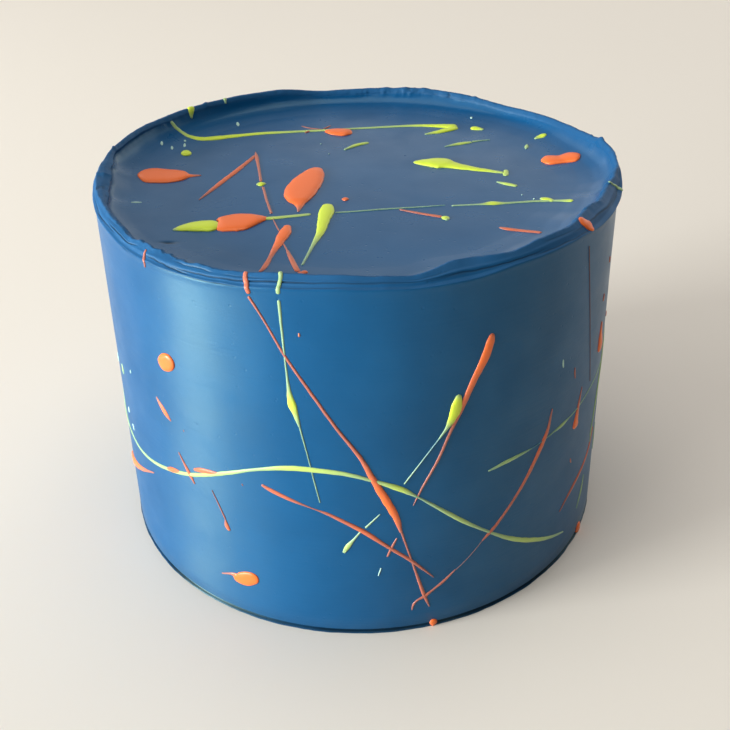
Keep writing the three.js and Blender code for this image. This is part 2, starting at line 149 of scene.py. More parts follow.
# The crest all the way round: turn, inset, height. A turn is in degrees from the front,
# towards +X when it is above zero.
CREST_STATIONS = [
    (-172, 1.2, 117.8), (-158, 1, 119.9), (-145, 1, 120.2), (-134, 0.9, 120.3), (-125, 0.7, 120.3),
    (-116, 0.2, 120.4), (-108, 0, 120.2), (-100, 0, 119.8), (-93, 0.1, 119.4), (-85, 0.3, 118.9),
    (-78, 1, 118.4), (-70, 2, 118.2), (-62, 2.3, 118.2), (-50, 2.4, 117), (-41, 2.8, 117.3),
    (-31, 2.4, 117.3), (-23, 2.7, 118), (-14, 2.9, 119), (-4, 2.6, 119.3), (4, 2.4, 118.8),
    (10, 2.3, 118.3), (20, 4.4, 119.8), (31, 2.5, 119.6), (40, 3.1, 119.9), (48, 2.8, 119.5),
    (59, 4.6, 119.3), (66, 3.4, 118.6), (73, 2.9, 118.6), (79, 1.3, 118.8), (85, -0.4, 119.1),
    (92, -1, 119.6), (99, -0.3, 119.9), (104, 0.6, 119), (110, 1.1, 118.5), (118, 1, 118),
    (136, 1, 117.2), (151, 1.2, 118.3), (164, 1, 119), (177, 1.2, 117.9),
]

# How broad the rim's sheet is from the crest inwards, and how far its ridge stands out
BREADTH_STATIONS = [(-100, 1.7), (-93, 3.4), (-85, 4.8), (-78, 3.8), (-70, 1.7)]
RIDGE_STATIONS = [
    (48, 0.35), (59, 0.5), (66, 0.8), (73, 1.1), (79, 1), (85, 0.8), (92, 0.6), (99, 0.35),
]

# How torn the rim's edge is, how far it overhangs and how creased its outside is: turn,
# tearing, overhang, creasing
RIM_CHARACTER = [
    (-172, 0.15, 0, 0.6), (-150, 0.15, 0, 0.6), (-128, 0.2, 0, 0.6), (-108, 0.25, 0.5, 0.8),
    (-88, 0.35, 1, 1), (-66, 0.35, 0.3, 1), (-54, 0.9, 0.2, 1), (-32, 0.9, 0.2, 1),
    (-22, 0.3, 0, 0.8), (0, 0.15, 0, 0.5), (20, 0.25, 0, 0.4), (40, 0.3, 0, 0.4),
    (58, 0.6, 0.1, 0.3), (78, 0.3, 0.1, 0.4), (96, 0.15, 0.1, 0.5), (110, 0.15, 0, 0.5),
    (140, 0.15, 0, 0.5), (154, 0.5, 0, 0.6), (172, 0.6, 0, 0.6),
]

# Bumps of icing left standing on the crest: turn, half width in degrees, height
CREST_BUMPS = [
    (172, 2.4, 0.3), (166, 1.4, 0.2), (160.5, 2.6, 0.35), (99, 1.6, 0.7), (103.5, 1, 0.3),
    (146, 0.9, 0.35), (-137, 1.1, 0.4), (-101, 1, 0.5), (-86, 1, 0.5), (74, 0.6, 0.3),
]

# The edges of the folded sheets on the outside of the rim: first and last turn, share of the
# way from the ridge to the crest at each, height of the step
FOLDS = [
    (-62, -48, 0.52, 0.62, 0.3), (-70, -56, 0.2, 0.4, 0.24), (-53, -49, 0.02, -0.05, 0.3),
    (-46, -32, 0.42, 0.2, 0.3), (-47, -20, -0.05, 0, 0.34), (-42, 0, 0.34, 0.5, 0.3),
    (-30, 12, 0.4, 0.52, 0.24), (-38, -27, 0.82, 0.7, 0.2), (-2, 22, 0.62, 0.4, 0.16),
    (12, 40, 0.44, 0.3, 0.26), (33, 56, 0.2, 0.12, 0.24), (44, 72, 0.55, 0.42, 0.24),
    (64, 92, 0.3, 0.3, 0.22), (-86, -66, 0.5, 0.3, 0.24), (88, 131, 0.45, 0.6, 0.2),
    (125, 158, 0.3, 0.45, 0.2), (150, 196, 0.6, 0.35, 0.2), (-170, -131, 0.4, 0.6, 0.2),
    (-138, -100, 0.55, 0.35, 0.2), (-112, -82, 0.7, 0.45, 0.25),
]
# The creases at the folds' edges, and how deep a crease is where its painted shade is darkest
CREASE_HALF_WIDTH = 0.2
CREASE_AT_DARKEST_SHADE = 0.35
FOLD_LIFT = 0.3
FOLD_LIFT_LENGTH = 1.1
FOLD_ENDS = 4
FOLD_WANDER = 0.05
FOLD_WANDER_TURN = 3

# Small folds among them, each number with its middle and its spread: degrees that the fold
# runs for, share where it starts, change of share, height of the step
FOLD_SEED = 41
SMALL_FOLDS = 26
SMALL_FOLD_RANGES = [(9, 6), (0.5, 0.42), (0, 0.15), (0.1, 0.05)]

# Rows of points along each stretch of the outline, steps of the spin, and tolerances
ROWS = {
    "underside": 2, "foot": 12, "wall": 22, "shoulder": 6, "bevel": 32, "edge": 12, "cove": 22,
    "top": 12,
}
STRETCHES = list(ROWS)
FINE_STRETCHES = ("bevel", "edge", "cove")
SPIN_STEPS = 512
MERGE_DISTANCE = 1e-5
ROW_TOLERANCE = 1e-5
AXIS_RADIUS = 1e-3


def seeded_numbers(seed):
    """Repeatable numbers from -1 to 1"""
    modulus, multiplier = 2147483647, 16807
    state = seed
    while True:
        state = state * multiplier % modulus
        yield 2 * state / modulus - 1


def smoothstep(share):
    """Rises softly from 0 to 1"""
    share = min(max(share, 0), 1)
    return share * share * (3 - 2 * share)


def uneven(place, layers, shift=Vector()):
    """The sum of layers of soft lumps at a place"""
    return sum(height * noise.noise(place / size + shift) for height, size in layers)


def point_along(points, distances, distance):
    """The point at a distance along a line of points"""
    distance = min(max(distance, 0), distances[-1])
    after = min(max(bisect.bisect_left(distances, distance), 1), len(points) - 1)
    low, high = distances[after - 1], distances[after]
    return points[after - 1].lerp(points[after], (distance - low) / (high - low))


def eased(stations, turn):
    """The values at a turn, eased between the two nearest stations round the cake"""
    turn = (turn + 180) % 360 - 180
    after = next((n for n, station in enumerate(stations) if station[0] > turn), 0)
    before = stations[after - 1]
    after = stations[after]
    share = smoothstep((turn - before[0]) % 360 / ((after[0] - before[0]) % 360))
    return [low + (high - low) * share for low, high in zip(before[1:], after[1:])]


ragged_numbers = seeded_numbers(RIM_SEED)
ragged_columns = [
    (RAGGED_INSET * next(ragged_numbers), RAGGED_HEIGHT * next(ragged_numbers))
    for column in range(COLUMNS)
]


def on_cake(turn, radius, height):
    """The point at a turn, a radius and a height"""
    turn = math.radians(turn)
    return Vector((radius * math.sin(turn), -radius * math.cos(turn), height))


def ragged_rim_at(turn):
    """The crest at a turn, as ragged as the solid's and with finer tears and bumps, and level"""
    inset, height = smooth_inset, smooth_height = eased(CREST_STATIONS, turn)
    tearing = eased(RIM_CHARACTER, turn)[0]
    place = COLUMNS * (turn % 360) / 360
    column = int(place) % COLUMNS
    share = place - int(place)
    here, there = ragged_columns[column], ragged_columns[(column + 1) % COLUMNS]
    inset += tearing * (here[0] + (there[0] - here[0]) * share)
    height += tearing * (here[1] + (there[1] - here[1]) * share)
    spot = on_cake(turn, SHOULDER_RADIUS, 0)
    inset += tearing * uneven(spot, INSET_TEARS)
    height += tearing * uneven(spot, CREST_TEARS, ELSEWHERE)
    for middle, half_width, rise in CREST_BUMPS:
        apart = abs((turn - middle + 180) % 360 - 180) / half_width
        height += rise * (1 - smoothstep(apart))
    return inset, height, smooth_inset, smooth_height


def wall_radius(height):
    """The side tapers a little towards the shoulder"""
    return FOOT_RADIUS + (SHOULDER_RADIUS - FOOT_RADIUS) * height / SHOULDER_HEIGHT


class Outline:
    """The coat's outline at one turn, from the middle of the underside to that of the top"""

    def __init__(self, turn):
        ragged_inset, crest, inset, level_crest = ragged_rim_at(turn)
        breadth, = eased(BREADTH_STATIONS, turn)
        stands_out, = eased(RIDGE_STATIONS, turn)
        self.tearing, self.overhang, self.creasing = eased(RIM_CHARACTER, turn)
        self.folds = folds_near(turn)
        crest_radius = SHOULDER_RADIUS - ragged_inset
        ridge = level_crest - RIDGE_DROP - RIDGE_DROP_FOR_INSET * max(inset, 0)
        crease = ridge + CREASE_RISE_SHARE * (level_crest - ridge)
        spot = on_cake(turn, SHOULDER_RADIUS, 0)
        self.crease_shade = 1 + uneven(spot, CREASE_SHADE_CHANGES)
        lip_radius = LIP_RADIUS + uneven(spot, LIP_SMEARS)
        lip = [(lip_radius + outwards, upwards) for outwards, upwards in LIP_POINTS]
        foot_crease = [
            (CREASE_RADIUS + outwards, CREASE_HEIGHT + upwards)
            for outwards, upwards in CREASE_POINTS
        ]
        wall_start = (wall_radius(CREASE_TOP), CREASE_TOP)
        inner_edge = crest_radius - breadth
        edge_foot = level_crest - RIM_EDGE_DEPTH
        under_edge = (inner_edge + EDGE_OVERHANG * self.overhang, edge_foot)
        cove = [
            (
                SHOULDER_RADIUS - inset - breadth - inwards,
                TOP_HEIGHT + share * (edge_foot - TOP_HEIGHT),
            )
            for inwards, share in COVE
        ]
        points = {
            "underside": [(0, 0), lip[0]],
            "foot": [*lip, *foot_crease, wall_start],
            "wall": [wall_start, (SHOULDER_RADIUS, SHOULDER_HEIGHT)],
            "shoulder": [
                (SHOULDER_RADIUS, SHOULDER_HEIGHT),
                (SHOULDER_RADIUS + UNDER_RIDGE_SHARE * stands_out, ridge - UNDER_RIDGE_DROP),
                (SHOULDER_RADIUS + stands_out, ridge),
            ],
            "bevel": [
                (SHOULDER_RADIUS + stands_out, ridge),
                (SHOULDER_RADIUS - RIDGE_STEP_SHARE * inset, ridge + RIDGE_STEP_HEIGHT),
                (SHOULDER_RADIUS - CREASE_SHARE * inset, crease),
                (SHOULDER_RADIUS - SECOND_FOLD_SHARE * inset, crease + SECOND_FOLD_HEIGHT),
                (crest_radius, crest),
            ],
            "edge": [
                (crest_radius, crest),
                (crest_radius - EDGE_MIDDLE_SHARE * breadth, crest - EDGE_MIDDLE_DROP),
                (inner_edge + EDGE_CORNER_INSET, crest - EDGE_CORNER_DROP),
                under_edge,
            ],
            "cove": [
                under_edge, (cove[0][0] + COVE_OVERHANG * self.overhang, cove[0][1]), *cove[1:]
            ],
            "top": [cove[-1], (0, TOP_HEIGHT)],
        }
        self.points = [Vector(points["underside"][0])]
        self.distances = [0]
        self.starts = []
        for stretch in STRETCHES:
            self.starts.append(self.distances[-1])
            for point in map(Vector, points[stretch][1:]):
                self.distances.append(self.distances[-1] + (point - self.points[-1]).length)
                self.points.append(point)
        self.starts.append(self.distances[-1])
        self.crest_distance = self.starts[STRETCHES.index("edge")]

    def at(self, distance):
        """The point at a distance along it"""
        return point_along(self.points, self.distances, distance)

    def smooth_at(self, distance):
        """The point there with corners rounded, and the direction outwards"""
        before, here, ahead = (self.at(distance + step * CORNER_REACH) for step in (-1, 0, 1))
        direction = (ahead - before).normalized()
        return (before + 2 * here + ahead) / 4, Vector((direction.y, -direction.x))


def small_folds():
    """Seeded folds anywhere round the rim"""
    numbers = seeded_numbers(FOLD_SEED)
    for fold in range(SMALL_FOLDS):
        start = 180 * next(numbers)
        span, share, change, step = (
            middle + spread * next(numbers) for middle, spread in SMALL_FOLD_RANGES
        )
        yield start, start + span, share, share + change, step


ALL_FOLDS = FOLDS + list(small_folds())


def folds_near(turn):
    """The sheets whose edges cross a turn: share up the outside of the rim, height of the step"""
    near = []
    for first, last, first_share, last_share, step in ALL_FOLDS:
        along = (turn - first) % 360 / (last - first)
        if along < 1:
            line = first_share + (last_share - first_share) * along
            line += FOLD_WANDER * noise.noise(Vector((turn / FOLD_WANDER_TURN, first, 0)))
            ends = smoothstep(FOLD_ENDS * along) * smoothstep(FOLD_ENDS * (1 - along))
            near.append((line, step * ends))
    return near


def folds_at(outline, share):
    """How far the overlapping sheets of the rim stand out, and how much painted shade darkens their
    creases
    """
    out, depth = 0, 0
    for line, step in outline.folds:
        above = (share - line) * BEVEL_LENGTH
        crease = step * math.exp(-((above / CREASE_HALF_WIDTH) ** 2))
        if above > 0:
            out += FOLD_LIFT * step * math.exp(-above / FOLD_LIFT_LENGTH)
        out -= crease
        depth = max(depth, crease / CREASE_AT_DARKEST_SHADE)
    return out, depth


def pit_at(place):
    """How deep in a pit a point of the top is, from 0 to 1, which also sets its painted shade"""
    return max(
        math.exp(-(((place.x - x) / half_length) ** 2) - ((place.y - y) / half_breadth) ** 2)
        for x, y, half_length, half_breadth in PITS
    )


def relief_at(outline, stretch, share, place):
    """How far the surface stands out of its plain outline, and how much painted shade darkens it in
    a crease, gap or pit
    """
    if stretch == "underside":
        return 0, 0
    if stretch == "foot":
        # Painted shade along the foot's crease
        apart = (share - CREASE_SHADE_PLACE) / CREASE_SHADE_REACH
        return 0, outline.crease_shade * math.exp(-(apart ** 2))
    swell = uneven(place, SWELLS)
    if stretch == "wall":
        return swell * smoothstep(place.z / FULL_SWELL_HEIGHT), 0
    pit = pit_at(place)
    if stretch == "top":
        return TOP_SWELL * swell - PIT_DEPTH * pit, pit
    wrinkle = WRINKLE_HEIGHT * noise.noise(Vector((
        place.x / WRINKLE_LENGTH, place.y / WRINKLE_LENGTH, place.z / WRINKLE_BREADTH,
    )))
    grain = uneven(place, GRAIN)
    if stretch == "bevel":
        out, depth = folds_at(outline, share)
        return swell + outline.creasing * (out + RIM_WRINKLES * wrinkle + BEVEL_GRAIN * grain), depth
    if stretch == "edge":
        lumps = uneven(place, TORN_LUMPS)
        torn = outline.tearing * (TORN_HEIGHT * lumps + uneven(place, FINE_TEARS))
        # Gaps and pits get painted shade as well as sinking
        depth = max(outline.tearing * smoothstep((-lumps - GAP_START) / GAP_BLEND), pit)
        fine = RIM_WRINKLES * wrinkle + EDGE_GRAIN * grain
        return swell + outline.creasing * fine + torn - GAP_DEPTH * depth, depth
    if stretch == "cove":
        fine = COVE_GRAIN * (wrinkle + grain) * (1 - smoothstep(COVE_GRAIN_FADE * share))
        return TOP_SWELL * swell + fine - PIT_DEPTH * pit, pit
    return swell - PIT_DEPTH * pit, pit


def faced_and_scaled(mesh_in_work):
    """Turns the faces outwards, shades them smooth and takes the mesh to metres"""
    bmesh.ops.recalc_face_normals(mesh_in_work, faces=mesh_in_work.faces)
    for face in mesh_in_work.faces:
        face.smooth = True
    bmesh.ops.scale(mesh_in_work, vec=(MILLIMETRE,) * 3, verts=mesh_in_work.verts)
    return mesh_in_work


def coat_mesh():
    """Spins the plain outline, then moves each point to the outline at its own turn"""
    coat = bmesh.new()
    row_number = coat.verts.layers.float.new("row")
    # The crease layer carries painted shade for creases, gaps and pits
    crease_shade_layer = coat.verts.layers.float.new("crease")
    plain = Outline(0)
    profile = []
    for stretch_number, stretch in enumerate(STRETCHES):
        for row in range(ROWS[stretch]):
            share = row / ROWS[stretch]
            start, end = plain.starts[stretch_number], plain.starts[stretch_number + 1]
            point = plain.at(start + (end - start) * share)
            profile.append(coat.verts.new((0, -point.x, point.y)))
            profile[-1][row_number] = stretch_number + share
    profile.append(coat.verts.new((0, 0, TOP_HEIGHT)))
    profile[-1][row_number] = len(STRETCHES)
    wires = [coat.edges.new(pair) for pair in zip(profile, profile[1:])]
    bmesh.ops.spin(
        coat, geom=profile + wires, cent=(0, 0, 0), axis=(0, 0, 1), dvec=(0, 0, 0),
        angle=2 * math.pi, steps=SPIN_STEPS, use_merge=True,
    )
    bmesh.ops.remove_doubles(coat, verts=coat.verts, dist=MERGE_DISTANCE)
    first_fine = STRETCHES.index(FINE_STRETCHES[0])
    last_fine = STRETCHES.index(FINE_STRETCHES[-1]) + 1
    fine_rings = [
        edge for edge in coat.edges
        if abs(edge.verts[0][row_number] - edge.verts[1][row_number]) < ROW_TOLERANCE
        and first_fine <= edge.verts[0][row_number] < last_fine
    ]
    bmesh.ops.subdivide_edges(coat, edges=fine_rings, cuts=1, use_grid_fill=True)

    outlines = {}
    for vert in coat.verts:
        row = vert[row_number]
        if vert.co.xy.length < AXIS_RADIUS:
            continue
        turn = math.degrees(math.atan2(vert.co.x, -vert.co.y))
        key = round(turn, 3)
        if key not in outlines:
            outlines[key] = Outline(turn)
        outline = outlines[key]
        stretch_number = min(int(row + ROW_TOLERANCE), len(STRETCHES) - 1)
        share = max(row - stretch_number, 0)
        start, end = outline.starts[stretch_number], outline.starts[stretch_number + 1]
        point, outwards = outline.smooth_at(start + (end - start) * share)
        place = on_cake(turn, point.x, point.y)
        relief, vert[crease_shade_layer] = relief_at(outline, STRETCHES[stretch_number], share, place)
        point += outwards * relief
        if STRETCHES[stretch_number] == "underside":
            point.y = 0
        vert.co = on_cake(turn, point.x, point.y)
    side_end, rim_end = STRETCHES.index("bevel"), STRETCHES.index("cove")
    for face in coat.faces:
        furthest_row = max(vert[row_number] for vert in face.verts)
        face.material_index = (furthest_row > side_end) + (furthest_row > rim_end)
    return faced_and_scaled(coat)


def finished_piece(name, mesh_in_work, materials):
    """Turns a bmesh into an object with its materials, at the origin"""
    mesh = bpy.data.meshes.new(name)
    mesh_in_work.to_mesh(mesh)
    mesh_in_work.free()
    for material in materials:
        mesh.materials.append(material)
    piece = bpy.data.objects.new(name, mesh)
    bpy.context.scene.collection.objects.link(piece)
    return piece


def new_material(name):
    """A material, its nodes, their links and its shader"""
    material = bpy.data.materials.new(name)
    material.use_nodes = True
    nodes, links = material.node_tree.nodes, material.node_tree.links
    return material, nodes, links, nodes["Principled BSDF"]


def mesh_value(nodes, layer):
    """A value that the mesh carries, vertex by vertex"""
    attribute = nodes.new("ShaderNodeAttribute")
    attribute.attribute_name = layer
    return attribute.outputs["Fac"]


def texture_place(nodes, links, scale):
    """The point on the object that a texture is read at, stretched by a scale"""
    coordinates = nodes.new("ShaderNodeTexCoord")
    mapping = nodes.new("ShaderNodeMapping")
    mapping.inputs["Scale"].default_value = scale
    links.new(coordinates.outputs["Object"], mapping.inputs["Vector"])
    return mapping.outputs["Vector"]


def noise_node(nodes, links, place, scale, detail, roughness=0.5):
    texture = nodes.new("ShaderNodeTexNoise")
    texture.inputs["Scale"].default_value = scale
    texture.inputs["Detail"].default_value = detail
    texture.inputs["Roughness"].default_value = roughness
    links.new(place, texture.inputs["Vector"])
    return texture.outputs["Fac"]


def ranged(nodes, links, value, low, high, from_low, from_high):
    """A texture's value spread over another range"""
    spread = nodes.new("ShaderNodeMapRange")
    for name, number in zip(
        ("From Min", "From Max", "To Min", "To Max"), (from_low, from_high, low, high)
    ):
        spread.inputs[name].default_value = number
    links.new(value, spread.inputs["Value"])
    return spread.outputs["Result"]


def bumped(nodes, links, height, relief, under=None):
    """One layer of fine relief, on top of the layer under it"""
    strength, depth = relief
    bump = nodes.new("ShaderNodeBump")
    bump.inputs["Strength"].default_value = strength
    bump.inputs["Distance"].default_value = depth
    links.new(height, bump.inputs["Height"])
    if under is not None:
        links.new(under, bump.inputs["Normal"])
    return bump.outputs["Normal"]


def two_tones(nodes, links, factor, first, second):
    """A mix of two colours, or of the colour that reaches here and a second one"""
    mix = nodes.new("ShaderNodeMix")
    mix.data_type = "RGBA"
    links.new(factor, mix.inputs["Factor"])
    if isinstance(first, tuple):
        mix.inputs["A"].default_value = (*first, 1)
    else:
        links.new(first, mix.inputs["A"])
    mix.inputs["B"].default_value = (*second, 1)
    return mix.outputs["Result"]


BUTTERCREAM_BLUE = (0.001, 0.081, 0.23)
BUTTERCREAM_DEEP_BLUE = (0.001, 0.069, 0.2)
# Painted shade: the dark blue laid into creases, gaps and pits
CREASE_SHADE_BLUE = (0.001, 0.014, 0.04)

# Fine patterns: scale, detail and roughness of the noise, and strength and depth of a relief
EVEN = (1, 1, 1)
NOISE_RANGE = (0.3, 0.7)
CLOUDS = (45, 3)
PATCHES = (90, 3)
PATCH_ROUGHNESS = (-0.04, 0.05)
FINE_GRAIN = (1400, 2)
FINE_GRAIN_RELIEF = (0.12, 0.0001)
LEVEL_MARKS = (26, 4, 0.6)
LEVEL_MARK_STRETCH = (1, 1, 42)
SCRAPED_RELIEF = (0.25, 0.0002)
FAINT_RELIEF = (0.08, 0.0002)
PORE_SCALE = 260
PORE_RANGE = (0.04, 0.12)
PORE_RELIEF = (0.25, 0.0002)
SCRAPED_ANISOTROPY = 0.85
ACROSS_THE_MARKS = 0.25


def buttercream(name, roughness, gloss, gloss_colour, streaks=False):
    """Satin blue buttercream with painted shade in its creases, gaps and pits, and the scraper's
    level marks where it has streaks
    """
    material, nodes, links, shader = new_material(name)
    shader.inputs["IOR"].default_value = gloss
    shader.inputs["Specular Tint"].default_value = (*gloss_colour, 1)
    even = texture_place(nodes, links, EVEN)
    clouds = noise_node(nodes, links, even, *CLOUDS)
    clouds = ranged(nodes, links, clouds, 0, 1, *NOISE_RANGE)
    tones = two_tones(nodes, links, clouds, BUTTERCREAM_BLUE, BUTTERCREAM_DEEP_BLUE)
    # Painted shade: creases, gaps and pits darkened towards a deep blue
    tones = two_tones(nodes, links, mesh_value(nodes, "crease"), tones, CREASE_SHADE_BLUE)
    links.new(tones, shader.inputs["Base Color"])
    patches = noise_node(nodes, links, even, *PATCHES)
    least, most = (roughness + change for change in PATCH_ROUGHNESS)
    patches = ranged(nodes, links, patches, least, most, *NOISE_RANGE)
    links.new(patches, shader.inputs["Roughness"])
    grain = noise_node(nodes, links, even, *FINE_GRAIN)
    relief = bumped(nodes, links, grain, FINE_GRAIN_RELIEF)
    level = texture_place(nodes, links, LEVEL_MARK_STRETCH)
    marks = noise_node(nodes, links, level, *LEVEL_MARKS)
    relief = bumped(nodes, links, marks, SCRAPED_RELIEF if streaks else FAINT_RELIEF, relief)
    pores = nodes.new("ShaderNodeTexVoronoi")
    pores.inputs["Scale"].default_value = PORE_SCALE
    links.new(even, pores.inputs["Vector"])
    pores = ranged(nodes, links, pores.outputs["Distance"], 0, 1, *PORE_RANGE)
    relief = bumped(nodes, links, pores, PORE_RELIEF, relief)
    links.new(relief, shader.inputs["Normal"])
    if streaks:
        tangent = nodes.new("ShaderNodeTangent")
        tangent.direction_type = "RADIAL"
        tangent.axis = "Z"
        links.new(tangent.outputs["Tangent"], shader.inputs["Tangent"])
        shader.inputs["Anisotropic"].default_value = SCRAPED_ANISOTROPY
        shader.inputs["Anisotropic Rotation"].default_value = ACROSS_THE_MARKS
    return material


coat = finished_piece("buttercream_coat", coat_mesh(), [
    buttercream("scraped_buttercream", 0.4, gloss=1.53, gloss_colour=(0.62, 1, 0.8), streaks=True),
    buttercream("torn_buttercream", 0.58, gloss=1.44, gloss_colour=(0.75, 1, 1)),
    buttercream("smoothed_buttercream", 0.3, gloss=1.5, gloss_colour=(0.65, 1, 0.97)),
])
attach(coat, "root")
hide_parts("cake")

# Icing throws. Thin satin icing, coral orange and lime green, flicked off a spoon: it lands in
# threads with fat drops in them, and a few slow drops run over the rim. Each one is a rounded
# bead of icing along its stations, sunk a little into the coat. Sizes are in millimetres.
THIN_STROKE_HEIGHT = 0.18
HEIGHT_FOR_WIDTH = 0.11
GREATEST_STROKE_HEIGHT = 0.9
SUNK_DEPTH = 0.7
ROUNDED_END = 0.5
GREATEST_END_SHARE = 0.25
# Short, narrow strokes are specks, which are paled by a painted highlight
SPECK_LENGTH = 4.2
SPECK_WIDTH = 1.3

# A fat stroke is squarer across than a thin one, and its edges wander less for its width
FAT_WIDTH = 3
FAT_STROKE_POWER = 0.8
WIDTH_CHANGE = 0.1
WIDTH_CHANGE_LENGTH = 2.2
SIDEWAYS_WANDER = 0.05
WANDER_LENGTH = 3
WANDER_SHIFT = 7

# How far the icing's own colour shows: a hairline covers the blue a little, a drop fully
HAIRLINE_COVER = 0.25
HAIRLINE_START = 0.2
HAIRLINE_SPAN = 0.2
DROP_START = 0.4
DROP_SPAN = 2.4

# How finely a stroke is made
STEPS_BETWEEN_STATIONS = 14
DIRECTION_REACH = 0.4
RING_SPACING = 0.5
FEWEST_RINGS = 4
CAP_RINGS = 5
SEGMENTS = 12
BROAD_SEGMENTS = 20
BROAD_WIDTH = 5
LEAST_KNOT_GAP = 1e-4

# A stroke on the top follows the cove, which starts within this distance of the shoulder
COVE_ROOM = 22
HALVINGS = 12

# Strokes on the top: stations of x, y, width
TOP_STROKES = [
    ("orange", [
        (-69.8, 8.2, 7.5), (-66.6, 8.2, 11.8), (-62.2, 8, 11.8), (-58, 7.9, 10.2), (-55, 7.9, 7),
        (-53, 8, 2.4), (-49.5, 8.2, 0.7),
    ]),
    ("orange", [(-47.7, -11.6, 0.4), (-44, -2, 1.6), (-39, 10.6, 1.8), (-33.6, 25, 1.3)]),
    ("orange", [(-33.9, 28.4, 0.3), (-33.3, 25, 1.1), (-31.5, 13, 0.9), (-30, 2, 0.9)]),
    ("lime", [(-31.3, -0.4, 1), (-29.7, -0.2, 3), (-28.2, 0, 0.8)]),
    ("orange", [(-29, -2.5, 0.9), (-27, -13.5, 0.8), (-25, -23, 0.8)]),
    ("orange", [(-19, -48, 0.8), (-17.4, -54, 1.4), (-15.5, -61.1, 1.5)]),
    ("orange", [
        (-17.2, -22.2, 0.5), (-17, -17.6, 2.6), (-17.5, -13, 7.4), (-17.4, -9.3, 9.6),
        (-16.7, -4.5, 10.5), (-15.5, 0.5, 10), (-14, 6, 8), (-13, 10.3, 5), (-12.4, 12.6, 2.2),
    ]),
    ("lime", [
        (-52.4, -33.3, 0.7), (-49.7, -32, 3.8), (-46.4, -31.2, 6), (-43.2, -31, 6.9),
        (-39, -30.8, 7.2),
    ]),
    ("orange", [
        (-40.6, -31.6, 8), (-38.6, -31.2, 9), (-36.8, -30, 11.2), (-34, -28.6, 11.6),
        (-31.2, -27.6, 9.2), (-28.6, -26.8, 5.6), (-25.8, -26.1, 1.2),
    ]),
    ("lime", [(-28.5, -27, 2), (-21, -25.7, 1.6), (-13.4, -24.2, 1.4)]),
    ("lime", [
        (-8.6, -17, 2.7), (-8.8, -22, 4.6), (-9.5, -28, 3.8), (-10.2, -36, 2.6), (-12.1, -45, 1.2),
        (-14.6, -57, 0.6),
    ]),
    ("orange", [
        (-19.7, -31.5, 1.9), (-20.3, -36.5, 3.6), (-21.6, -43, 2.6), (-23.4, -52, 1.3),
        (-24.4, -58, 1.5), (-25.5, -61.1, 0.8),
    ]),
    ("lime", [
        (-66.5, 43, 1), (-61.6, 43.4, 1.4), (-58.7, 42.2, 1.8), (-54.7, 41, 2.6),
        (-49.4, 41.8, 3.2), (-44.7, 43.7, 2.8), (-34.5, 46.5, 2.3), (-23.8, 47.6, 1.7),
        (-11, 48.6, 1.5), (6, 50.2, 1.3), (21.7, 51.3, 1.9), (36, 49.2, 4.3),
    ]),
    ("lime", [(36, 48.4, 2.8), (31, 45.2, 3.1), (24, 42, 1)]),
    ("lime", [(-58.9, 27.9, 3), (-57.1, 28.1, 4.6), (-55.4, 28.4, 3)]),
    ("orange", [(-11, 48, 1.6), (-7.6, 46.7, 5.7), (-3.6, 45.4, 6.3), (-1.3, 44.5, 3.4)]),
    ("lime", [(-4, 28.5, 0.9), (0.4, 33, 2), (4.4, 35, 1.5)]),
    ("lime", [(30, 29.4, 0.5), (35, 31.8, 1.9), (39.6, 33.2, 1.3)]),
    ("lime", [(40.6, 47.6, 2.6), (42.1, 46.8, 3), (44.9, 45.1, 1.2)]),
    ("lime", [(60.9, 33.4, 1), (63.2, 34.7, 2.5), (65.2, 35.2, 2)]),
    ("lime", [(57.7, 29.2, 0.7), (57.3, 27.2, 1.4), (56.8, 25.2, 0.6)]),
    ("lime", [(43.4, -2.7, 0.7), (46.2, -4.5, 1.8), (49.4, -6.5, 1.5)]),
    ("orange", [
        (60, 14.3, 4.6), (62.6, 14.2, 6.9), (66.2, 13.8, 6), (69.8, 14.3, 7.4), (72.6, 15, 4.4),
    ]),
    ("lime", [
        (18.6, 15.6, 1.6), (22.7, 14.9, 5.1), (27.6, 14, 8.2), (31, 12, 5), (36, 9.2, 3.3),
        (41, 7, 2.4), (46.8, 4.5, 1.4),
    ]),
    ("lime", [(47.7, 7, 1.5), (47.3, 4.4, 1.9), (46.9, 2, 1.5)]),
    ("lime", [
        (28, -20.4, 0.8), (36.5, -19.8, 1), (40.2, -19.3, 2.4), (44, -19.3, 1.2), (54, -18.4, 1.1),
        (60.2, -18.9, 1.2), (64, -19.8, 2.3),
    ]),
    ("lime", [(54.7, -16.3, 1.2), (56.5, -17.3, 2.5), (58.5, -18.9, 1.5)]),
    ("orange", [(12.5, -22.2, 0.6), (18.4, -25.3, 1), (24.6, -28.2, 1.3)]),
    ("lime", [(24.4, -28.2, 1.2), (25.5, -29, 2.4), (26, -30.6, 0.8)]),
    ("orange", [(40, -36.2, 0.6), (42, -37.3, 1.5), (46, -38.9, 1.4), (51.1, -41.3, 1.2)]),
    ("orange", [(-4.5, -13.5, 1.2), (-3.4, -13.6, 2.4), (-2.3, -13.7, 1.2)]),
]

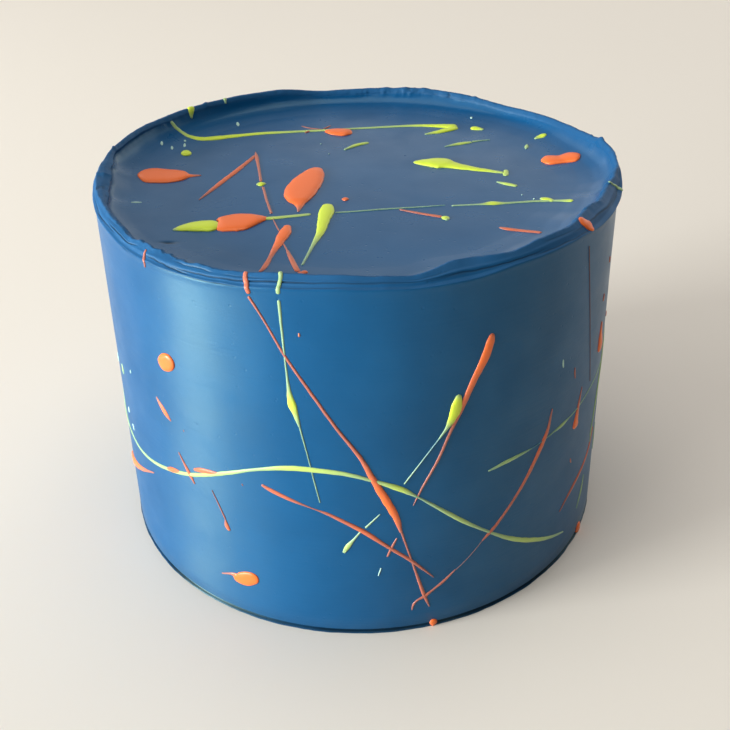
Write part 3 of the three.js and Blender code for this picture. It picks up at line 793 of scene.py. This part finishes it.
# Strokes on the side: stations of turn, height, width
SIDE_STROKES = [
    ("orange", [
        (-20, 113, 0.8), (-17.4, 107, 0.65), (-13.7, 97, 0.8), (-9, 86, 0.9), (-4.5, 75.3, 0.9),
        (-0.3, 66, 1.2), (1.8, 59.4, 1.7), (4.2, 52, 2.3), (6.4, 45, 2), (7.5, 39, 0.9),
    ]),
    ("orange", [(7.4, 40, 0.7), (9.8, 27, 0.6), (12.4, 13.2, 1.1), (13.5, 8.4, 0.4)]),
    ("orange", [(13.6, 1.3, 1.6), (14.4, 1.4, 2.9), (15.2, 0.9, 1.6)]),
    ("lime", [
        (-14.2, 113, 0.9), (-14, 104.6, 0.7), (-13.6, 92, 0.6), (-13.4, 87, 1.1), (-13, 82.6, 2.3),
        (-12.4, 79.4, 1.6), (-11.7, 75.4, 0.6),
    ]),
    ("orange", [(-43, 87, 5.3), (-41.9, 84.7, 7.4), (-40.9, 82.3, 5.3)]),
    ("orange", [(-47.2, 70, 0.5), (-45.8, 67.9, 1.7), (-44.2, 65.9, 1.9), (-42.8, 64.3, 0.5)]),
    ("lime", [
        (-78, 46, 0.7), (-70, 42, 0.9), (-61, 40.7, 1), (-54, 41.7, 1.1), (-47.3, 44, 1.2),
        (-38.5, 48, 1.3), (-27.6, 54.9, 1.3), (-21.9, 58.4, 1), (-14, 61.3, 1.7), (-4, 60.8, 1.4),
        (2, 58.2, 1.1), (7.5, 54.5, 1.8), (10.9, 51, 0.7), (14, 47.3, 1), (20, 39.6, 1.4),
        (25.8, 32.6, 0.9), (33, 24.6, 1.5), (39.4, 19, 1.6), (46.2, 14, 1.1), (52, 10.6, 0.5),
    ]),
    ("orange", [(-75.5, 23.4, 3.2), (-70.5, 25.8, 3.2), (-62.2, 31, 1.9), (-53.3, 37.2, 0.4)]),
    ("orange", [(-41.6, 54.2, 0.4), (-40.5, 51.7, 0.8), (-38.8, 47.8, 1.4), (-37.6, 45.1, 0.5)]),
    ("orange", [(-30, 36.6, 0.5), (-29.8, 34.2, 1.5), (-29.2, 32.6, 1)]),
    ("orange", [
        (-32.6, 13.6, 0.4), (-29.6, 15.2, 1.2), (-28.2, 14.6, 3.8), (-26.2, 15.4, 5.3),
        (-24.6, 16.6, 4.5), (-23.3, 17.8, 3.2),
    ]),
    ("orange", [
        (-20.5, 53.7, 0.8), (-18.3, 52.3, 1.4), (-14, 50, 1.1), (-10, 48, 0.4), (-7, 46.4, 1),
        (-2.9, 43, 1.3), (0, 40.2, 1.6), (4, 35.2, 1.2), (9.2, 28.4, 1.1), (12, 24, 0.8),
        (14.4, 19.9, 0.3),
    ]),
    ("lime", [(-4.2, 32.3, 0.9), (-3.3, 34.8, 1.5), (-2.1, 37.3, 0.8), (-0.5, 40.6, 0.5)]),
    ("orange", [
        (25.6, 99, 1.5), (25.2, 96.5, 2.5), (24.4, 93, 2.7), (23.2, 89.5, 2.3), (21.9, 86, 2),
        (19.6, 78.3, 1.5), (17.4, 71.5, 0.9), (14.9, 62.8, 0.8), (11.7, 54, 0.6),
        (9.9, 48.2, 0.25),
    ]),
    ("lime", [
        (18.9, 82.8, 1.3), (18.7, 80.6, 2.7), (18.3, 78, 3.3), (17.6, 75.4, 2.4), (16.6, 72.8, 1.1),
        (15, 69.7, 0.4),
    ]),
    ("orange", [
        (43, 65.6, 0.4), (42, 59, 1.3), (40.6, 55.2, 1.65), (36.5, 46, 1.3), (32.5, 38.9, 1),
        (28.6, 32.9, 1.1), (26.7, 30.6, 1.2), (25.2, 28.8, 0.4),
    ]),
    ("orange", [(19.2, 21, 0.3), (16.9, 17.9, 0.9), (14, 14.7, 0.8), (12.4, 13, 1.4)]),
    ("orange", [(12.4, 13, 1.2), (10.8, 11.8, 0.7), (10, 10.3, 0.7), (9.7, 8.2, 0.3)]),
    ("lime", [
        (50, 57.4, 0.4), (47.1, 56.8, 1.3), (43.9, 56.5, 0.5), (40.6, 55.9, 0.2), (37.6, 55.6, 0.2),
        (34.5, 55.4, 0.9), (30, 55, 1.2), (26, 54.2, 0.5),
    ]),
    ("orange", [(55.1, 64.4, 0.4), (54.2, 59.5, 1.2), (53.5, 54.5, 2.4), (53.2, 50.6, 4)]),
    ("orange", [(66, 79, 1.2), (65.8, 75, 2.7), (66.3, 70.5, 4.7), (66.6, 68, 3.6)]),
    ("orange", [
        (68, 38, 1.2), (64.6, 32.2, 1.4), (60.4, 29.2, 1.4), (55.6, 26.7, 1.4), (51.6, 24, 0.9),
        (49.2, 21.6, 0.3),
    ]),
    ("orange", [(60.6, 1, 2.4), (62, 1.6, 4), (63.4, 1.2, 2.8)]),
]

# Strokes over the rim: stations of turn, distance inwards from the crest, width
RIM_STROKES = [
    ("orange", [(51.2, -0.2, 2.6), (52.4, -2.6, 3.4), (53.6, -5.2, 2.8)]),
    ("lime", [(74, 0.3, 0.9), (74.8, -1.6, 1.1), (75.3, -3, 1.2), (75, -5, 0.9)]),
    ("lime", [(-132.4, -0.6, 3), (-131.3, 2.5, 2), (-130.9, 4.3, 0.8)]),
    ("orange", [(-21.2, 0.3, 1.2), (-20.9, -1.5, 1.3), (-20.3, -3.3, 1.3), (-19.8, -6.2, 1.3)]),
    ("lime", [(-14.4, 0.8, 1.1), (-14, -1.6, 1.1), (-14.1, -3.4, 1.1), (-14.2, -6, 1.1)]),
    ("orange", [(-45.8, -1.3, 0.7), (-45.3, -3.2, 0.9), (-44.6, -4.6, 0.8), (-44.9, -6.6, 0.5)]),
    ("lime", [(-143.1, 0, 1.5), (-142.7, 1.3, 1), (-142.6, 2.4, 0.5)]),
]

# Hairlines and specks on the top, too fine for the solid: stations of x, y, width
TOP_HAIRLINES = [
    ("lime", [(-58.9, 38.8, 0.5), (-58.9, 38.1, 0.9), (-58.8, 37.4, 0.5)]),
    ("lime", [(-58.7, 36.2, 0.5), (-58.6, 34.8, 0.9), (-58.5, 33.4, 0.5)]),
    ("lime", [(-66.1, 34.4, 0.5), (-66, 33.3, 0.9), (-65.9, 32.2, 0.5)]),
    ("lime", [(-62.6, 33, 0.5), (-62.4, 31.8, 0.9), (-62.3, 30.5, 0.5)]),
    ("lime", [(-42.5, 56.2, 0.6), (-42.3, 54.9, 1.2), (-42, 53.4, 0.5)]),
    ("orange", [(-19.4, 53.6, 0.3), (-16.3, 51.2, 0.5), (-11.7, 49.4, 0.4)]),
    ("orange", [(-9, 53.4, 0.4), (-10.2, 51.6, 0.8), (-11.5, 50, 0.6)]),
    ("orange", [(-17.9, 46.4, 0.6), (-16.6, 48, 1.3), (-15, 49.2, 0.8)]),
    ("lime", [(39.6, 33.5, 1.1), (42.6, 34.4, 0.7), (45.9, 35, 0.4)]),
    ("lime", [(41.7, 57.2, 0.5), (41.8, 56.6, 1), (41.9, 56, 0.5)]),
    ("lime", [
        (-6.4, -23.4, 0.6), (0, -22.8, 0.5), (6.8, -21.8, 0.5), (17.6, -20.8, 0.4),
        (26.2, -19.8, 0.3),
    ]),
    ("orange", [(-24.3, -26.8, 0.3), (-23.2, -31, 0.4), (-22, -35.2, 0.5)]),
    ("orange", [(-20.3, -43.8, 0.5), (-19.6, -46, 0.5), (-18.8, -48.8, 0.6)]),
    ("lime", [(-67.6, -14.5, 0.5), (-66, -14, 0.9), (-64.5, -13.7, 0.5)]),
    ("orange", [(-15.5, -61.5, 1), (-14.3, -62, 1.6), (-13.2, -61, 2)]),
    ("lime", [(52.7, -16.4, 0.4), (52.9, -16.6, 0.7), (53.1, -16.8, 0.4)]),
    ("lime", [(49.6, -13.3, 0.3), (49.8, -13.4, 0.5), (50, -13.5, 0.3)]),
    ("lime", [(-12.2, 34.9, 0.4), (-12, 34.8, 0.8), (-11.8, 34.7, 0.4)]),
    ("lime", [(-9.1, 25.1, 0.3), (-9, 25, 0.7), (-8.9, 24.9, 0.3)]),
    ("orange", [(-60.3, -42.4, 0.7), (-58.7, -44.2, 1.3), (-56.9, -46.6, 1)]),
]

# Hairlines and specks on the side: stations of turn, height, width
SIDE_HAIRLINES = [
    ("lime", [(-11.8, 76, 0.5), (-10.4, 65.5, 0.35), (-9.5, 58, 0.4), (-8.5, 50.3, 0.35)]),
    ("lime", [(15.4, 70.5, 0.35), (14.4, 68.6, 0.25), (12, 64, 0.3), (8.1, 56.2, 0.4)]),
    ("lime", [(3.3, 46.4, 0.3), (1.8, 44, 0.5), (0.3, 41.6, 0.7)]),
    ("orange", [(-47.2, 44, 0.8), (-44.6, 45.4, 1.9), (-42, 46.4, 1.2)]),
    ("orange", [(-37.4, 50.6, 0.9), (-35.3, 51.6, 1.6), (-32.6, 52.5, 1.4), (-29.6, 53.4, 0.5)]),
    ("orange", [(-32.8, 45.9, 0.3), (-31.3, 41.2, 0.4), (-30, 36.7, 0.6)]),
    ("orange", [(25.2, 28.8, 0.2), (23.4, 26, 0.2), (21, 22.8, 0.2), (19.3, 20.8, 0.2)]),
    ("lime", [
        (71, 60.6, 0.4), (66, 60.2, 0.4), (59.3, 59.3, 0.4), (53.9, 57.9, 0.4), (50, 57.3, 0.4),
    ]),
    ("orange", [(52.2, 112, 0.2), (54.5, 97, 0.2), (57.2, 80, 0.2), (60.1, 62.3, 0.2)]),
    ("orange", [(-39.1, 63.7, 0.2), (-38.9, 63.1, 0.2)]),
    ("orange", [(-25, 52.2, 0.2), (-24.8, 51.6, 0.2)]),
    ("orange", [(6.6, 37.2, 0.4), (5.6, 34, 0.8), (4.6, 30.4, 0.6)]),
    ("lime", [(3.3, 26.3, 0.25), (3, 24.8, 0.35), (2.7, 23.3, 0.25)]),
    # A broken line of beads down the left, and specks beside it
    ("lime", [(-88, 104, 0.5), (-86, 98, 1.1), (-85.4, 93, 0.5)]),
    ("lime", [(-84.8, 90, 0.4), (-84, 85, 1), (-83.6, 80, 0.5)]),
    ("lime", [(-83, 77, 0.4), (-82.4, 72, 0.9), (-82, 68, 0.3)]),
    ("lime", [(-92, 80, 0.8), (-89, 68, 1.2), (-85, 56, 1.2), (-78, 46, 0.9)]),
    ("lime", [(-72.6, 66.5, 0.4), (-72.5, 65, 0.8), (-72.3, 63.5, 0.4)]),
    ("lime", [(-66.3, 67.6, 0.6), (-66, 66, 1.3), (-65.6, 64.2, 0.6)]),
    ("lime", [(-59, 71, 0.3), (-58.9, 70.4, 0.6), (-58.8, 69.8, 0.3)]),
    ("lime", [(-66.2, 51.6, 0.6), (-66, 50.6, 1.2), (-65.8, 49.6, 0.6)]),
    ("lime", [(-64, 47, 0.4), (-63.6, 46, 0.9), (-63.2, 45, 0.4)]),
    # Specks towards the right edge
    ("orange", [(68.6, 99, 0.4), (68.6, 98, 0.8), (68.6, 97, 0.4)]),
    ("orange", [(65.5, 88.8, 0.4), (65.4, 87.6, 0.8), (65.2, 86.4, 0.4)]),
    ("orange", [(74.8, 76, 0.4), (74.8, 75, 0.8), (74.8, 74, 0.4)]),
    ("lime", [(45.5, 80.5, 0.3), (45.6, 79, 0.7), (45.8, 77.6, 0.3)]),
    ("orange", [(50.6, 74.4, 0.3), (50.8, 72.5, 0.7), (51.2, 70.2, 0.3)]),
    ("orange", [(52.3, 40, 0.3), (52.5, 39, 0.7), (52.8, 38, 0.3)]),
    ("orange", [(-10.8, 104.2, 0.3), (-10.8, 103.6, 0.6), (-10.8, 103, 0.3)]),
]

# The far side: a second set of throws by the same hand, and finer ones among them
FAR_SIDE_SPREAD = 1.28
FAR_SIDE_TURN_SHIFT = 9
FAR_SIDE_HEIGHT_SHIFT = 7
FAR_SIDE_SEED = 20
FAR_SIDE_HAIRLINE_SEED = 33
FAR_SIDE_LEAST_WIDTH = 2.1
LOWEST_STATION = 4
HIGHEST_STATION = 112


def widest_of(stations):
    """The greatest width of a stroke"""
    return max(width for first, second, width in stations)


def far_side(strokes, seed):
    """The front's strokes, spread round the back, upside down and shifted"""
    numbers = seeded_numbers(seed)
    for colour, stations in strokes:
        turn_shift = FAR_SIDE_TURN_SHIFT * next(numbers)
        height_shift = FAR_SIDE_HEIGHT_SHIFT * next(numbers)
        moved = []
        for turn, height, width in stations:
            flipped = HIGHEST_STATION + LOWEST_STATION - height + height_shift
            flipped = min(max(flipped, LOWEST_STATION), HIGHEST_STATION)
            moved.append((180 + FAR_SIDE_SPREAD * turn + turn_shift, flipped, width))
        yield colour, moved


def on_top(across, deep, above):
    """A point above the top, which rises towards the rim"""
    radius = math.hypot(across, deep)
    height = TOP_HEIGHT
    if radius > SHOULDER_RADIUS - COVE_ROOM:
        outline = Outline(math.degrees(math.atan2(across, -deep)))
        low = outline.starts[STRETCHES.index("cove")]
        high = outline.starts[STRETCHES.index("top")]
        for halving in range(HALVINGS):
            middle = (low + high) / 2
            if outline.at(middle).x > radius:
                low = middle
            else:
                high = middle
        height = outline.at(low).y
    return Vector((across, deep, height + above))


def on_side(around, height, above):
    """A point above the side; around is the distance round the cake from the front"""
    turn = math.degrees(around / SHOULDER_RADIUS)
    return on_cake(turn, wall_radius(height) + above, height)


def on_rim(around, inwards, above):
    """A point above the rim, at a distance inwards of the crest"""
    turn = math.degrees(around / SHOULDER_RADIUS)
    outline = Outline(turn)
    point, outwards = outline.smooth_at(outline.crest_distance + inwards)
    point += outwards * above
    return on_cake(turn, point.x, point.y)


def turns_to_distances(stations):
    """The stations with their turns as distances round the cake"""
    return [(math.radians(turn) * SHOULDER_RADIUS, level, width) for turn, level, width in stations]


def through_stations(stations, share):
    """A point on the centripetal curve through the stations, and its width"""
    points = [Vector(station) for station in stations]
    points = [2 * points[0] - points[1], *points, 2 * points[-1] - points[-2]]
    place = share * (len(stations) - 1)
    first = min(int(place), len(stations) - 2)
    p = points[first:first + 4]
    knots = [0]
    for start, end in zip(p, p[1:]):
        knots.append(knots[-1] + max((end - start).length ** 0.5, LEAST_KNOT_GAP))
    t = knots[1] + (place - first) * (knots[2] - knots[1])

    def between(low, high, first_knot, last_knot):
        reach = knots[last_knot] - knots[first_knot]
        return low.lerp(high, (t - knots[first_knot]) / reach)

    near = [between(p[n], p[n + 1], n, n + 1) for n in range(3)]
    nearer = [between(near[n], near[n + 1], n, n + 2) for n in range(2)]
    return between(nearer[0], nearer[1], 1, 2)


class Path:
    """The stations' curve, by its length"""

    def __init__(self, stations):
        steps = STEPS_BETWEEN_STATIONS * (len(stations) - 1)
        self.points = [through_stations(stations, step / steps) for step in range(steps + 1)]
        self.distances = [0]
        for start, end in zip(self.points, self.points[1:]):
            self.distances.append(self.distances[-1] + (end - start).xy.length)
        self.length = self.distances[-1]

    def at(self, distance):
        """The point at a distance along it"""
        return point_along(self.points, self.distances, distance)

    def direction(self, distance):
        """Which way the curve runs there"""
        distance = min(max(distance, 0), self.length)
        step = min(DIRECTION_REACH, self.length / 4)
        ahead = self.at(min(distance + step, self.length))
        behind = self.at(max(distance - step, 0))
        return (ahead - behind).xy.normalized()


def add_stroke(icing, stations, place):
    """Shapes one sphere into a bead of icing along its stations, and adds it to the others"""
    path = Path(stations)
    first_cap, last_cap = (
        min(ROUNDED_END * end.z, GREATEST_END_SHARE * path.length)
        for end in (path.points[0], path.points[-1])
    )
    body = path.length - first_cap - last_cap
    body_rings = max(round(path.length / RING_SPACING), FEWEST_RINGS)
    rings = body_rings + 2 * CAP_RINGS
    segments = SEGMENTS if widest_of(stations) < BROAD_WIDTH else BROAD_SEGMENTS
    bead = bmesh.new()
    fullness = bead.verts.layers.float.new("fullness")
    # Specks are marked for their painted highlight
    speck_highlight = bead.verts.layers.float.new("speck_highlight")
    is_speck = float(path.length < SPECK_LENGTH and widest_of(stations) < SPECK_WIDTH)
    bmesh.ops.create_uvsphere(bead, u_segments=segments, v_segments=rings, radius=1)
    seed = Vector((stations[0][0], stations[0][1], 0))
    for vert in bead.verts:
        ring = round(math.acos(min(max(vert.co.z, -1), 1)) / math.pi * rings)
        lean = 0.5 * math.pi * max(1 - min(ring, rings - ring) / CAP_RINGS, 0)
        taper = math.cos(lean)
        if ring < CAP_RINGS:
            along = first_cap * (1 - math.sin(lean))
        elif ring > rings - CAP_RINGS:
            along = path.length - last_cap * (1 - math.sin(lean))
        else:
            along = first_cap + body * (ring - CAP_RINGS) / body_rings
        middle = path.at(along)
        direction = path.direction(along)
        change = noise.noise(seed + Vector((along / WIDTH_CHANGE_LENGTH, 0, 0)))
        width = middle.z * taper * (1 + WIDTH_CHANGE * change / max(middle.z / FAT_WIDTH, 1))
        tall = min(THIN_STROKE_HEIGHT + HEIGHT_FOR_WIDTH * middle.z, GREATEST_STROKE_HEIGHT) * taper
        angle = math.atan2(vert.co.y, vert.co.x)
        power = 1 if middle.z < FAT_WIDTH else FAT_STROKE_POWER
        sideways = math.copysign(abs(math.cos(angle)) ** power, math.cos(angle)) * width / 2
        upwards = math.copysign(abs(math.sin(angle)) ** power, math.sin(angle))
        wander = noise.noise(seed + Vector((along / WANDER_LENGTH, WANDER_SHIFT, 0)))
        sideways += SIDEWAYS_WANDER * min(middle.z, FAT_WIDTH) * taper * wander
        above = upwards * (tall if upwards > 0 else SUNK_DEPTH)
        spot = middle.xy + Vector((direction.y, -direction.x)) * sideways
        hairline = smoothstep((middle.z - HAIRLINE_START) / HAIRLINE_SPAN)
        drop = smoothstep((middle.z - DROP_START) / DROP_SPAN)
        vert[fullness] = HAIRLINE_COVER * hairline + (1 - HAIRLINE_COVER) * drop
        vert[speck_highlight] = is_speck
        vert.co = place(spot.x, spot.y, above)
    one_bead = bpy.data.meshes.new("one_bead")
    bead.to_mesh(one_bead)
    bead.free()
    icing.from_mesh(one_bead)
    bpy.data.meshes.remove(one_bead)


def icing_mesh(colour):
    """All the strokes of one colour"""
    icing = bmesh.new()
    icing.verts.layers.float.new("fullness")
    icing.verts.layers.float.new("speck_highlight")
    broad = [stroke for stroke in SIDE_STROKES if widest_of(stroke[1]) > FAR_SIDE_LEAST_WIDTH]
    back = [*far_side(broad, FAR_SIDE_SEED), *far_side(SIDE_HAIRLINES, FAR_SIDE_HAIRLINE_SEED)]
    for strokes, place, turned in (
        (TOP_STROKES + TOP_HAIRLINES, on_top, False),
        (SIDE_STROKES + SIDE_HAIRLINES + back, on_side, True),
        (RIM_STROKES, on_rim, True),
    ):
        for stroke_colour, stations in strokes:
            if stroke_colour == colour:
                add_stroke(icing, turns_to_distances(stations) if turned else stations, place)
    return faced_and_scaled(icing)


# Colours of a full drop, of a hairline that the blue shows through, and of a speck's painted
# highlight
CORAL_ORANGE = (0.93, 0.178, 0.035)
ORANGE_OVER_BLUE = (0.2, 0.12, 0.13)
ORANGE_SPECK_HIGHLIGHT = (0.62, 0.2, 0.12)
LIME_GREEN = (0.66, 0.82, 0.055)
LIME_OVER_BLUE = (0.14, 0.32, 0.36)
LIME_SPECK_HIGHLIGHT = (0.45, 0.68, 0.6)
ICING_GLOSS = 1.42
ICING_ROUGHNESS = 0.35
WAVES = (400, 2)
WAVE_RELIEF = (0.1, 0.0003)


def icing_material(name, full, thin, speck_highlight):
    """Thin icing: full drops show its colour, the blue shows through hairs, specks are paled by a
    painted highlight
    """
    material, nodes, links, shader = new_material(name)
    shader.inputs["IOR"].default_value = ICING_GLOSS
    shader.inputs["Roughness"].default_value = ICING_ROUGHNESS
    tones = two_tones(nodes, links, mesh_value(nodes, "fullness"), thin, full)
    tones = two_tones(nodes, links, mesh_value(nodes, "speck_highlight"), tones, speck_highlight)
    links.new(tones, shader.inputs["Base Color"])
    waves = noise_node(nodes, links, texture_place(nodes, links, EVEN), *WAVES)
    links.new(bumped(nodes, links, waves, WAVE_RELIEF), shader.inputs["Normal"])
    return material


orange_icing = finished_piece("orange_icing", icing_mesh("orange"), [
    icing_material("coral_orange_icing", CORAL_ORANGE, ORANGE_OVER_BLUE, ORANGE_SPECK_HIGHLIGHT),
])
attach(orange_icing, "root")
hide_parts("cake")

lime_icing = finished_piece("lime_icing", icing_mesh("lime"), [
    icing_material("lime_green_icing", LIME_GREEN, LIME_OVER_BLUE, LIME_SPECK_HIGHLIGHT),
])
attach(lime_icing, "root")
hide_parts("cake")

# Stage. A plain pale floor, with daylight from a low window at the left, and the soft light of
# pale walls and a ceiling round it. Metres, degrees.
FLOOR_SIZE = 8
FLOOR_COLOUR = (0.83, 0.78, 0.71)
FLOOR_ROUGHNESS = 0.7
FLOOR_GLOSS = 0.2
PANEL_DISTANCE = 2
PANEL_AIM = Vector((0, 0, 0.06))
DAYLIGHT = (1, 1.02, 0.99)
ROOM_LIGHT = (1, 0.97, 0.93)
ROOM_STRENGTH = 0.02

# The panels: name, turn, elevation, width and height as seen from the cake, radiance, colour
PANELS = [
    ("window", -70, 7, 20, 18, 52, DAYLIGHT),
    ("window_edge", -50, 7, 20, 18, 9.5, DAYLIGHT),
    ("window_sky", -76, 38, 46, 44, 1.2, DAYLIGHT),
    ("left_wall", -138, 22, 44, 40, 0.75, ROOM_LIGHT),
    ("back_wall", 180, 26, 76, 40, 0.56, ROOM_LIGHT),
    ("pale_wall_behind", 162, 11, 44, 20, 0.5, ROOM_LIGHT),
    ("right_wall", 128, 20, 52, 40, 1, ROOM_LIGHT),
    ("ceiling", 0, 88, 50, 50, 1.85, ROOM_LIGHT),
]


def soft_panel(name, turn, elevation, wide, tall, radiance, colour):
    """A panel of even light that faces the cake; its place and its sides are in degrees"""
    width = 2 * PANEL_DISTANCE * math.tan(math.radians(wide / 2))
    height = 2 * PANEL_DISTANCE * math.tan(math.radians(tall / 2))
    lamp = bpy.data.lights.new(name, "AREA")
    lamp.shape = "RECTANGLE"
    lamp.size = width
    lamp.size_y = height
    lamp.energy = math.pi * width * height * radiance
    lamp.color = colour
    panel = bpy.data.objects.new(name, lamp)
    turn, elevation = math.radians(turn), math.radians(elevation)
    outwards = Vector((
        math.sin(turn) * math.cos(elevation), -math.cos(turn) * math.cos(elevation),
        math.sin(elevation),
    ))
    panel.location = PANEL_AIM + PANEL_DISTANCE * outwards
    panel.rotation_euler = outwards.to_track_quat("Z", "Y").to_euler()
    panel.visible_camera = False
    bpy.context.scene.collection.objects.link(panel)


for panel_values in PANELS:
    soft_panel(*panel_values)

world = bpy.data.worlds.new("pale_room")
world.use_nodes = True
world.node_tree.nodes["Background"].inputs["Color"].default_value = (*ROOM_LIGHT, 1)
world.node_tree.nodes["Background"].inputs["Strength"].default_value = ROOM_STRENGTH
bpy.context.scene.world = world
bpy.context.scene.view_settings.view_transform = "Standard"

floor_mesh = bmesh.new()
bmesh.ops.create_grid(floor_mesh, x_segments=1, y_segments=1, size=FLOOR_SIZE / 2)
floor_material, *_, floor_shader = new_material("pale_floor")
floor_shader.inputs["Base Color"].default_value = (*FLOOR_COLOUR, 1)
floor_shader.inputs["Roughness"].default_value = FLOOR_ROUGHNESS
floor_shader.inputs["Specular IOR Level"].default_value = FLOOR_GLOSS
floor = finished_piece("pale_floor", floor_mesh, [floor_material])
